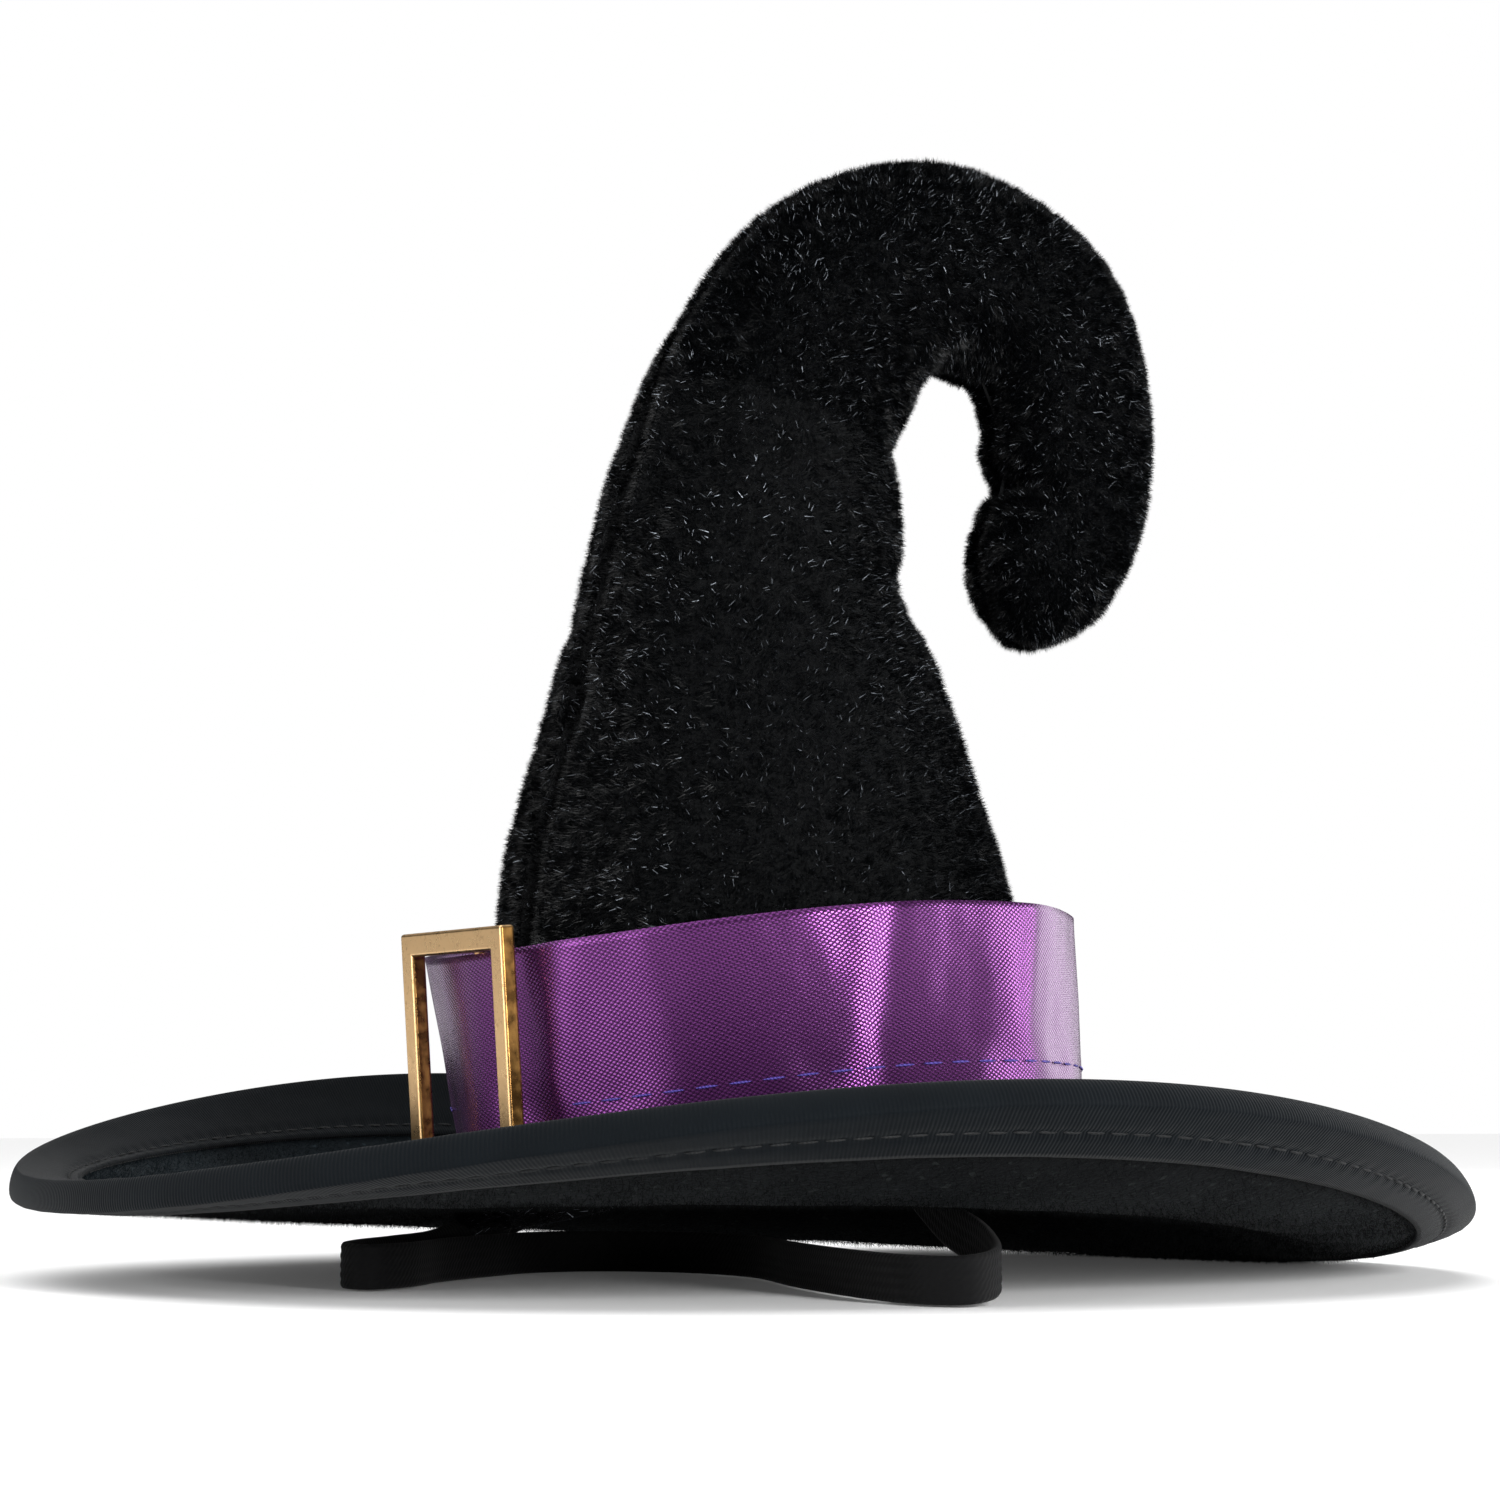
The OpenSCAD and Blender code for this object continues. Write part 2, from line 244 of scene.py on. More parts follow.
def felt_material(name, colour, fleck, fleck_share, rough):
    """Needled acrylic felt: matt, cloudy, with stray paler fibres and a slight nap."""
    m, t, s = new_material(name, Base_Color=linear(colour), Roughness=rough, Specular_IOR_Level=0.1,
                           Sheen_Weight=0.03, Sheen_Roughness=0.45, Sheen_Tint=linear("#9fb0b8"))
    place = node(t, "ShaderNodeTexCoord").outputs["Object"]
    cloud = node(t, "ShaderNodeTexNoise", None, {"Vector": place}, {"Scale": 90.0, "Detail": 4.0})
    fibre = node(t, "ShaderNodeTexNoise", None, {"Vector": place}, {"Scale": 1400.0, "Detail": 3.0})
    flecks = node(t, "ShaderNodeTexNoise", None, {"Vector": place}, {"Scale": 760.0, "Detail": 1.0})
    dim, bright = ([c * k for c in linear(colour)[:3]] + [1] for k in (0.55, 1.45))
    dark = node(t, "ShaderNodeMix", {"data_type": "RGBA"}, {"Factor": cloud.outputs["Fac"]},
                {"A": dim, "B": bright})
    sparse = node(t, "ShaderNodeMapRange", None, {"Value": flecks.outputs["Fac"]},
                  {"From Min": fleck_share, "From Max": fleck_share + 0.05})
    mixed = node(t, "ShaderNodeMix", {"data_type": "RGBA"},
                 {"Factor": sparse.outputs[0], "A": dark.outputs["Result"]}, {"B": linear(fleck)})
    height = node(t, "ShaderNodeBump", None, {"Height": fibre.outputs["Fac"]},
                  {"Strength": 0.7, "Distance": 0.0002})
    t.links.new(mixed.outputs["Result"], s.inputs["Base Color"])
    t.links.new(height.outputs[0], s.inputs["Normal"])
    return m


felt_top = felt_material("acrylic_felt_teal", "#0b1216", "#1f292e", 0.68, 0.9)
felt_under = felt_material("acrylic_felt_black", "#060708", "#1d201f", 0.67, 0.92)

brim_turns = 240
brim_steps = 28
brim_edge = 1 - 0.3 * MM / brim_w


def felt_ring(name, low, high, material, nap):
    """One felt disc between two offsets, with the uneven surface of needled cloth."""
    rows, coords = [], []
    for i in range(brim_turns):
        a = 2 * math.pi * i / brim_turns
        row, row_uv = [], []
        for side, offset in ((-1, low), (1, high)):
            steps = range(brim_steps + 1) if side < 0 else reversed(range(brim_steps + 1))
            for j in steps:
                s = brim_edge * j / brim_steps
                p = brim_mid(a, s)
                lumps = noise.noise(p * 110) * 0.22 + noise.noise(p * 420) * 0.1
                shown = high if nap > 0 else low
                n = offset + (nap * MM * lumps if offset == shown and 0.03 < s < 0.85 else 0)
                row.append(brim_pt(a, s, n))
                row_uv.append((a * 0.1, s * brim_w))
        rows.append(row)
        coords.append(row_uv)
    return closed_ring(name, rows, material, coords)


gap = 0.05 * MM
top_felt = felt_ring("felt_brim_top", stiffener_t / 2 + gap, brim_half, felt_top, 1)
under_felt = felt_ring("felt_brim_underside", -brim_half, -stiffener_t / 2 - gap, felt_under, -1)
for obj, node_name, slot_name in ((top_felt, "brim_top_felt", "top_felt"),
                                  (under_felt, "brim_under_felt", "under_felt")):
    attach(obj, "hat")
    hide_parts(node_name)

# Stiffener: grey card, hidden between the felts.
core, tree, shader = new_material("card_stiffener", Base_Color=linear("#3a3d3f"), Roughness=0.85)
grain = node(tree, "ShaderNodeTexNoise", None, {"Vector": node(tree, "ShaderNodeTexCoord").outputs["Object"]},
             {"Scale": 600.0})
bump = node(tree, "ShaderNodeBump", None, {"Height": grain.outputs["Fac"]},
            {"Strength": 0.4, "Distance": 0.0002})
tree.links.new(bump.outputs[0], shader.inputs["Normal"])
NODES["brim_stiffener"].data.materials.clear()
NODES["brim_stiffener"].data.materials.append(core)


# ---- Nap of the felt and pile of the plush: short fibres standing on the cloth ----
# Each fibre is one thin triangle bent over by a fixed random lean, set by Geometry
# Nodes on the face it grows from, so that the outline is soft as on the real cloth.

def socket(tree, name, kind, in_out="INPUT", default=None):
    """Adds a named socket to a node group and returns its identifier."""
    s = tree.interface.new_socket(name=name, in_out=in_out, socket_type=kind)
    if default is not None:
        s.default_value = default
    return s.identifier


def fibre_tree():
    """Scatters single-triangle fibres over a mesh, leaning along a set direction."""
    t = bpy.data.node_groups.new("standing_fibres", "GeometryNodeTree")
    ids = {
        "cloth": socket(t, "Cloth", "NodeSocketGeometry"),
        "density": socket(t, "Fibres per square metre", "NodeSocketFloat", default=1e6),
        "length": socket(t, "Fibre length", "NodeSocketFloat", default=0.0014),
        "width": socket(t, "Fibre width", "NodeSocketFloat", default=0.00012),
        "spread": socket(t, "Spread", "NodeSocketFloat", default=0.5),
        "lean": socket(t, "Lean", "NodeSocketVector"),
        "tufts": socket(t, "Tufts per metre", "NodeSocketFloat", default=450.0),
        "tuft_lean": socket(t, "Tuft lean", "NodeSocketFloat", default=2.7),
        "seed": socket(t, "Seed", "NodeSocketInt", default=1),
        "material": socket(t, "Finish", "NodeSocketMaterial"),
    }
    socket(t, "Fibres", "NodeSocketGeometry", "OUTPUT")
    given = node(t, "NodeGroupInput").outputs
    points = node(t, "GeometryNodeDistributePointsOnFaces", None,
                  {"Mesh": given["Cloth"], "Density": given["Fibres per square metre"],
                   "Seed": given["Seed"]})
    flat = node(t, "GeometryNodeMeshCircle", {"fill_type": "NGON"}, None, {"Vertices": 3, "Radius": 1.0})
    blade = node(t, "GeometryNodeTransform", None, {"Geometry": flat.outputs[0]},
                 {"Translation": (0, 0, 0.33), "Rotation": (0, -math.pi / 2, 0), "Scale": (0.67, 0.58, 1)})
    wild = node(t, "FunctionNodeRandomValue", {"data_type": "FLOAT_VECTOR"}, {"Seed": given["Seed"]})
    wild.inputs[0].default_value = (-1, -1, -1)
    wild.inputs[1].default_value = (1, 1, 1)
    loose = node(t, "ShaderNodeVectorMath", {"operation": "SCALE"},
                 {0: wild.outputs[0], "Scale": given["Spread"]})
    place = node(t, "GeometryNodeInputPosition")
    tufts = node(t, "ShaderNodeTexNoise", None,
                 {"Vector": place.outputs[0], "Scale": given["Tufts per metre"]}, {"Detail": 1.0})
    middle = node(t, "ShaderNodeVectorMath", {"operation": "SUBTRACT"}, {0: tufts.outputs["Color"]})
    middle.inputs[1].default_value = (0.5, 0.5, 0.5)
    drawn = node(t, "ShaderNodeVectorMath", {"operation": "SCALE"},
                 {0: middle.outputs[0], "Scale": given["Tuft lean"]})
    both = node(t, "ShaderNodeVectorMath", {"operation": "ADD"}, {0: loose.outputs[0], 1: drawn.outputs[0]})
    tilt = node(t, "ShaderNodeVectorMath", {"operation": "ADD"}, {0: both.outputs[0], 1: given["Lean"]})
    stand = node(t, "ShaderNodeVectorMath", {"operation": "ADD"},
                 {0: points.outputs["Normal"], 1: tilt.outputs[0]})
    turn = node(t, "FunctionNodeAlignRotationToVector", {"axis": "Z"}, {"Vector": stand.outputs[0]})
    tall = node(t, "FunctionNodeRandomValue", {"data_type": "FLOAT"}, {"Seed": given["Seed"]})
    tall.inputs[2].default_value = 0.45
    tall.inputs[3].default_value = 1.15
    height = node(t, "ShaderNodeMath", {"operation": "MULTIPLY"},
                  {0: tall.outputs[1], 1: given["Fibre length"]})
    size = node(t, "ShaderNodeCombineXYZ", None,
                {"X": given["Fibre width"], "Y": given["Fibre width"], "Z": height.outputs[0]})
    placed = node(t, "GeometryNodeInstanceOnPoints", None,
                  {"Points": points.outputs["Points"], "Instance": blade.outputs[0],
                   "Rotation": turn.outputs[0], "Scale": size.outputs[0]})
    real = node(t, "GeometryNodeRealizeInstances", None, {0: placed.outputs[0]})
    done = node(t, "GeometryNodeSetMaterial", None,
                {"Geometry": real.outputs[0], "Material": given["Finish"]})
    node(t, "NodeGroupOutput", None, {0: done.outputs[0]})
    return t, ids


def grow(name, cloth, share, fibres, length, width, spread, lean, seed, material):
    """Bakes fibres on the mesh object cloth into a plain mesh object of their own."""
    holder = add_object(name, cloth.data.copy())
    area = sum(f.area for f in holder.data.polygons)
    m = holder.modifiers.new("fibres", "NODES")
    m.node_group = FIBRES
    m[FIBRE_IDS["density"]] = share * fibres / area
    m[FIBRE_IDS["length"]] = length
    m[FIBRE_IDS["width"]] = width
    m[FIBRE_IDS["spread"]] = spread
    m[FIBRE_IDS["lean"]] = lean
    m[FIBRE_IDS["seed"]] = seed
    m[FIBRE_IDS["material"]] = material
    baked = baked_mesh(holder)
    holder.modifiers.remove(m)
    holder.data = baked
    baked.name = name
    return holder


def patch(name, verts, faces):
    """A bare mesh object for fibres to grow from, removed once they have grown."""
    mesh = bpy.data.meshes.new(name)
    mesh.from_pydata(verts, [], faces)
    return add_object(name, mesh)


FIBRES, FIBRE_IDS = fibre_tree()
share = 1.0
nap_rows = 24
nap_fibres = 150000
nap_width = 0.07 * MM
nap_spread = 1.6
for name, side, material, length, seed in (
        ("nap_brim_top", 1, felt_top, 0.9 * MM, 11),
        ("nap_brim_underside", -1, felt_under, 1.0 * MM, 12)):
    verts, faces = [], []
    span = [0.01 + j / nap_rows * 0.86 for j in range(nap_rows + 1)]
    for i in range(brim_turns):
        a = 2 * math.pi * i / brim_turns
        verts += [brim_pt(a, s, side * brim_half) for s in span]
    for i in range(brim_turns):
        for j in range(nap_rows):
            a, b = i * (nap_rows + 1) + j, (i + 1) % brim_turns * (nap_rows + 1) + j
            quad = (a, a + 1, b + 1, b)
            faces.append(quad if side > 0 else quad[::-1])
    ground = patch("nap_ground", verts, faces)
    nap = grow(name, ground, share, nap_fibres, length, nap_width, nap_spread, (0, 0, 0), seed, material)
    bpy.data.objects.remove(ground)
    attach(nap, "hat")


# ---- Edge tape: grosgrain folded over the brim's edge and stitched through ----
# Ribbed black tape, one leg above and one beneath. One row of stitches pulls a shallow
# furrow into each leg.

grosgrain, tree, shader = new_material(
    "grosgrain_tape", Base_Color=linear("#070b0f"), Roughness=0.7, Specular_IOR_Level=0.06,
    Sheen_Weight=0.05, Sheen_Roughness=0.4)
uv = node(tree, "ShaderNodeUVMap", {"uv_map": "cloth"})
# Weft ribs run across the tape. A wave texture at scale 0.314 has its bands one unit apart.
rib_pitch = 0.55 * MM
unit_bands = 0.314
ribs = node(tree, "ShaderNodeTexWave", {"bands_direction": "X"}, {"Vector": uv.outputs[0]},
            {"Scale": unit_bands / rib_pitch, "Distortion": 0.15, "Detail": 1.0})
place = node(tree, "ShaderNodeTexCoord").outputs["Object"]
cloud = node(tree, "ShaderNodeTexNoise", None, {"Vector": place}, {"Scale": 120.0, "Detail": 3.0})
shade = node(tree, "ShaderNodeMix", {"data_type": "RGBA"}, {"Factor": cloud.outputs["Fac"]},
             {"A": linear("#04070a"), "B": linear("#090e12")})
bump = node(tree, "ShaderNodeBump", None, {"Height": ribs.outputs["Fac"]},
            {"Strength": 0.38, "Distance": 0.00015})
tree.links.new(shade.outputs["Result"], shader.inputs["Base Color"])
tree.links.new(bump.outputs[0], shader.inputs["Normal"])

tape_turns = 960
tape_length = 650 * MM
stitch_pitch = 3.2 * MM
top_row = 1 - 0.8 * tape_w / brim_w
under_row = 1 - 0.5 * tape_w / brim_w
leg = 1 - tape_w / brim_w
tape_gap = 0.1 * MM
outer = brim_half + tape_t + tape_gap
inner = brim_half + tape_gap
fold = 1 + (tape_t + tape_gap) / brim_w
legs = [leg + (1 - leg) * j / 10 for j in range(11)]
bend = [(1 + (fold - 1) * math.cos(math.radians(c)), outer * math.sin(math.radians(c)))
        for c in range(-72, 73, 18)]
profile = [(s, -outer) for s in legs] + bend + [(s, outer) for s in reversed(legs)]
crease = 1 + tape_gap / brim_w
profile += [(leg, inner), (crease, inner), (crease, -inner), (leg, -inner)]
rows, coords = [], []
tape_lap = math.radians(100)
for i in range(tape_turns):
    a = tape_lap + 2 * math.pi * i / tape_turns
    row, row_uv = [], []
    walk = 0.0
    last = None
    pull = 0.75 + 0.25 * math.cos(2 * math.pi * i * tape_length / stitch_pitch / tape_turns)
    for s, n in profile:
        if abs(n) == outer:
            at = top_row if n > 0 else under_row
            furrow = 0.4 * MM * pull * math.exp(-((s - at) * brim_w / (0.7 * MM)) ** 2)
            lift = 0.12 * MM * noise.noise(Vector((6 * math.cos(a), 6 * math.sin(a), s * 9)) * 2)
            n = n - math.copysign(furrow - lift, n)
        p = brim_pt(a, s, n)
        walk += (p - last).length if last else 0
        last = p
        row.append(p)
        row_uv.append((a * (seam_r + brim_w), walk))
    rows.append(row)
    coords.append(row_uv)
tape = closed_ring("grosgrain_edge_tape", rows, grosgrain, coords)
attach(tape, "hat")
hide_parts("brim_tape")


def stitch_tree():
    """Lays one short rounded stitch on each step along a line of points."""
    t = bpy.data.node_groups.new("row_of_stitches", "GeometryNodeTree")
    ids = {
        "line": socket(t, "Line", "NodeSocketGeometry"),
        "pitch": socket(t, "Pitch", "NodeSocketFloat", default=0.003),
        "length": socket(t, "Stitch length", "NodeSocketFloat", default=0.002),
        "radius": socket(t, "Thread radius", "NodeSocketFloat", default=0.0002),
        "finish": socket(t, "Finish", "NodeSocketMaterial"),
    }
    socket(t, "Stitches", "NodeSocketGeometry", "OUTPUT")
    given = node(t, "NodeGroupInput").outputs
    line = node(t, "GeometryNodeMeshToCurve", None, {"Mesh": given["Line"]})
    even = node(t, "GeometryNodeResampleCurve", {"mode": "LENGTH"},
                {"Curve": line.outputs[0], "Length": given["Pitch"]})
    points = node(t, "GeometryNodeCurveToPoints", {"mode": "EVALUATED"}, {"Curve": even.outputs[0]})
    turn = node(t, "FunctionNodeAlignRotationToVector", {"axis": "Z"}, {"Vector": points.outputs["Tangent"]})
    bead = node(t, "GeometryNodeMeshUVSphere", None, None, {"Segments": 8, "Rings": 6, "Radius": 1.0})
    half = node(t, "ShaderNodeMath", {"operation": "MULTIPLY"}, {0: given["Stitch length"]})
    half.inputs[1].default_value = 0.5
    size = node(t, "ShaderNodeCombineXYZ", None,
                {"X": given["Thread radius"], "Y": given["Thread radius"], "Z": half.outputs[0]})
    placed = node(t, "GeometryNodeInstanceOnPoints", None,
                  {"Points": points.outputs["Points"], "Instance": bead.outputs["Mesh"],
                   "Rotation": turn.outputs[0], "Scale": size.outputs[0]})
    real = node(t, "GeometryNodeRealizeInstances", None, {0: placed.outputs[0]})
    smooth = node(t, "GeometryNodeSetShadeSmooth", None, {0: real.outputs[0]})
    done = node(t, "GeometryNodeSetMaterial", None, {0: smooth.outputs[0], "Material": given["Finish"]})
    node(t, "NodeGroupOutput", None, {0: done.outputs[0]})
    return t, ids


STITCHES, STITCH_IDS = stitch_tree()


def sew(name, points, pitch, length, radius, material, replaced):
    """Sews a row of stitches along the points and bakes it into a plain mesh."""
    mesh = bpy.data.meshes.new(name)
    mesh.from_pydata(points, [(i, i + 1) for i in range(len(points) - 1)], [])
    obj = add_object(name, mesh)
    m = obj.modifiers.new("stitches", "NODES")
    m.node_group = STITCHES
    m[STITCH_IDS["pitch"]] = pitch
    m[STITCH_IDS["length"]] = length
    m[STITCH_IDS["radius"]] = radius
    m[STITCH_IDS["finish"]] = material
    baked = baked_mesh(obj)
    obj.modifiers.remove(m)
    obj.data = baked
    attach(obj, "hat")
    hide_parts(replaced)


def thread_material(name, colour, pale):
    """Spun polyester thread: two plies in relief, their raised ridges painted paler as a thin painted
    highlight.
    """
    m, t, s = new_material(name, Base_Color=linear(colour), Roughness=0.6, Specular_IOR_Level=0.25)
    place = node(t, "ShaderNodeTexCoord").outputs["Object"]
    ply = node(t, "ShaderNodeTexWave", {"bands_direction": "DIAGONAL"}, {"Vector": place}, {"Scale": 900.0})
    # Painted highlight: the ridge of each ply is coloured paler.
    tint = node(t, "ShaderNodeMix", {"data_type": "RGBA"}, {"Factor": ply.outputs["Fac"]},
                {"A": linear(colour), "B": linear(pale)})
    rise = node(t, "ShaderNodeBump", None, {"Height": ply.outputs["Fac"]},
                {"Strength": 0.4, "Distance": 0.0001})
    t.links.new(tint.outputs["Result"], s.inputs["Base Color"])
    t.links.new(rise.outputs[0], s.inputs["Normal"])
    return m


black_thread = thread_material("polyester_thread_black", "#050607", "#101315")
ring_angles = [2 * math.pi * i / 720 for i in range(721)]
sew("stitches_tape_top", [brim_pt(a, top_row, outer - 0.26 * MM) for a in ring_angles],
    stitch_pitch, 2.5 * MM, 0.2 * MM, black_thread, "tape_stitch_top")
sew("stitches_tape_underside", [brim_pt(a, under_row, 0.26 * MM - outer) for a in ring_angles],
    stitch_pitch, 2.5 * MM, 0.22 * MM, black_thread, "tape_stitch_under")
for name in ("strap_tack_right", "strap_tack_left", "front_seam_thread", "back_seam_thread"):
    NODES[name].data.materials.clear()
    NODES[name].data.materials.append(black_thread)


# ---- Crown: two panels of black plush, sewn front and back and stuffed ----
# Knitted plush with a 1.4 mm pile. The stuffing rounds each panel out between the two
# seams, and the short inner seam gathers the cloth where the tip curls over.

plush_t = 1.2 * MM
SPINE = [
    (2.6, 18.5, 43.4), (2, 26, 42.2), (0.8, 36, 39), (0, 48, 36.4), (-0.6, 60, 34),
    (-0.8, 73, 30.2), (-1.4, 87, 25.8), (-1, 100, 22), (0.6, 111, 20.2),
    (4, 124, 18.4), (13, 139, 16.4), (29.5, 147, 15.4), (46.5, 142, 14.2),
    (53, 128, 12.8), (53.5, 117, 12), (50.5, 108, 11.6), (46.5, 101, 10.4),
    (43.5, 96.5, 7.2), (41.5, 94.5, 2.5),
]


def crown_pt(t, q, out):
    """Crown surface at t along its centre line and angle q round it, stood off by out."""
    here = spline(SPINE, t)
    after, before = spline(SPINE, min(t + 0.002, 1)), spline(SPINE, max(t - 0.002, 0))
    along = Vector((after.x - before.x, after.y - before.y)).normalized()
    r = max(here.z * MM + out, 0.6 * MM)
    fade = max(0, 1 - t / 0.2) ** 2
    return Vector((r * math.cos(q),
                   here.x * MM + r * math.sin(q) * along.y,
                   here.y * MM - r * math.sin(q) * along.x
                   + fade * (seam_height(q) - brim_half - SPINE[0][1] * MM)))


# Gathers along the inside of the curl: place along the centre line, width, height in mm.
GATHERS = [
    (0.33, 0.025, 0.5), (0.385, 0.018, -0.9), (0.43, 0.03, 0.5), (0.50, 0.012, -0.6), (0.535, 0.02, 0.3),
    (0.585, 0.012, -1.0), (0.65, 0.02, 0.5), (0.70, 0.012, -0.9), (0.757, 0.02, 1.7),
    (0.808, 0.013, -2.7), (0.88, 0.02, 0.3), (0.925, 0.012, -0.6),
]


def crown_relief(t, q):
    """How far the cloth stands off the plain shape: seam furrows and gathers."""
    reach = spline(SPINE, t).z * MM
    from_front = abs((q - front_angle + math.pi) % (2 * math.pi) - math.pi)
    near_front, near_back = from_front * reach, (math.pi - from_front) * reach
    furrow = 1.7 * MM * math.exp(-(near_front / (1.3 * MM)) ** 2)
    furrow += 1.2 * MM * math.exp(-(near_back / (1.5 * MM)) ** 2)
    ridge = 0.6 * MM * math.exp(-((near_front - 4 * MM) / (2.2 * MM)) ** 2)
    inner_side = max(0, math.sin(q)) ** 2
    gathers = sum(depth * MM * math.exp(-((t - at) / width) ** 2) for at, width, depth in GATHERS)
    lumps = 0.7 * MM * noise.noise(Vector((math.cos(q) * 2, math.sin(q) * 2, t * 14)))
    return ridge - furrow + gathers * inner_side + lumps * min(1, t / 0.15)


crown_rows = 128
crown_cols = 72
pile_room = 0.8 * MM
held_rows = 12
cloth_frames = 16
crown_verts = []
for i in range(crown_rows + 1):
    t = i / crown_rows
    for j in range(crown_cols):
        q = front_angle + 2 * math.pi * j / crown_cols
        crown_verts.append(crown_pt(t, q, crown_relief(t, q) - pile_room * min(1, t / 0.15)))
crown_sim = patch("crown_cloth", crown_verts, tube_faces(crown_rows + 1, crown_cols))
sewn = crown_sim.vertex_groups.new(name="sewn")
seam_columns = (0, crown_cols // 2)
sewn.add([i * crown_cols + j for i in range(crown_rows + 1) for j in seam_columns], 1.0, "REPLACE")
held = list(range(held_rows)) + [crown_rows]
sewn.add([i * crown_cols + j for i in held for j in range(crown_cols)], 1.0, "REPLACE")
cloth = crown_sim.modifiers.new("stuffing", "CLOTH")
cloth.settings.quality = 5
cloth.settings.mass = 0.02
cloth.settings.tension_stiffness = 12
cloth.settings.compression_stiffness = 12
cloth.settings.bending_stiffness = 0.2
cloth.settings.shrink_min = -0.015
cloth.settings.use_pressure = True
cloth.settings.uniform_pressure_force = 4
cloth.settings.vertex_group_mass = "sewn"
cloth.settings.effector_weights.gravity = 0
cloth.point_cache.frame_start = 1
cloth.point_cache.frame_end = cloth_frames
for f in range(1, cloth_frames + 1):
    bpy.context.scene.frame_set(f)
puffed = crown_sim.evaluated_get(bpy.context.evaluated_depsgraph_get()).data
puff_cap = 1.1 * MM
moved = [puffed.vertices[k].co - crown_verts[k] for k in range(len(crown_verts))]
crown_verts = [v + d * min(1, puff_cap / max(d.length, 1e-9)) for v, d in zip(crown_verts, moved)]
crown_sim.modifiers.remove(cloth)
bpy.context.scene.frame_set(1)
# The last rows draw together at the tip, where the panels are gathered and closed.
for i, share_left in ((crown_rows - 2, 0.96), (crown_rows - 1, 0.72), (crown_rows, 0.05)):
    ring = range(i * crown_cols, (i + 1) * crown_cols)
    centre = sum((crown_verts[k] for k in ring), Vector()) / crown_cols
    for k in ring:
        crown_verts[k] = centre + share_left * (crown_verts[k] - centre)
bpy.data.objects.remove(crown_sim)


def crown_vert(i, j):
    """The crown's point in row i and column j, counted round past the seam."""
    return crown_verts[i * crown_cols + j % crown_cols]


crown_normals = []
for i in range(crown_rows + 1):
    for j in range(crown_cols):
        along = crown_vert(min(i + 1, crown_rows), j) - crown_vert(max(i - 1, 0), j)
        around = crown_vert(i, j + 1) - crown_vert(i, j - 1)
        crown_normals.append(around.cross(along).normalized())

# Ground cloth under the pile: black knit, seen only as depth between the fibres.
plush, tree, shader = new_material(
    "plush_garoundblack", Base_Color=linear("#050607"), Roughness=0.8, Specular_IOR_Level=0.1,
    Sheen_Weight=0.05, Sheen_Roughness=0.35, Sheen_Tint=linear("#8c9db5"))
place = node(tree, "ShaderNodeTexCoord").outputs["Object"]
grain = node(tree, "ShaderNodeTexNoise", None, {"Vector": place}, {"Scale": 1500.0, "Detail": 2.0})
bump = node(tree, "ShaderNodeBump", None, {"Height": grain.outputs["Fac"]},
            {"Strength": 0.8, "Distance": 0.0004})
tree.links.new(bump.outputs[0], shader.inputs["Normal"])

# Pile fibres: black polyester; a few fibres, in patches, are coloured near-white as painted highlights.
pile, tree, shader = new_material(
    "plush_pile_black", Base_Color=linear("#0a0b0e"), Roughness=0.38, Specular_IOR_Level=0.13,
    Sheen_Weight=0.01, Sheen_Roughness=0.3, Sheen_Tint=linear("#9db0cc"))
place = node(tree, "ShaderNodeTexCoord").outputs["Object"]
spark = node(tree, "ShaderNodeNewGeometry")
patchy = node(tree, "ShaderNodeTexNoise", None, {"Vector": place}, {"Scale": 55.0, "Detail": 3.0})
few = node(tree, "ShaderNodeMapRange", None, {"Value": spark.outputs["Random Per Island"]},
           {"From Min": 0.972, "From Max": 0.998})
glint_patches = node(tree, "ShaderNodeMapRange", None, {"Value": patchy.outputs["Fac"]},
                      {"From Min": 0.38, "From Max": 0.66, "To Min": 0.15, "To Max": 1.0})
painted_glint = node(tree, "ShaderNodeMath", {"operation": "MULTIPLY"},
              {0: few.outputs[0], 1: glint_patches.outputs[0]})
# Painted highlight: the chosen fibres get a near-white base colour.
tint = node(tree, "ShaderNodeMix", {"data_type": "RGBA"}, {"Factor": painted_glint.outputs[0]},
            {"A": linear("#030405"), "B": linear("#dde6f2")})
tree.links.new(tint.outputs["Result"], shader.inputs["Base Color"])

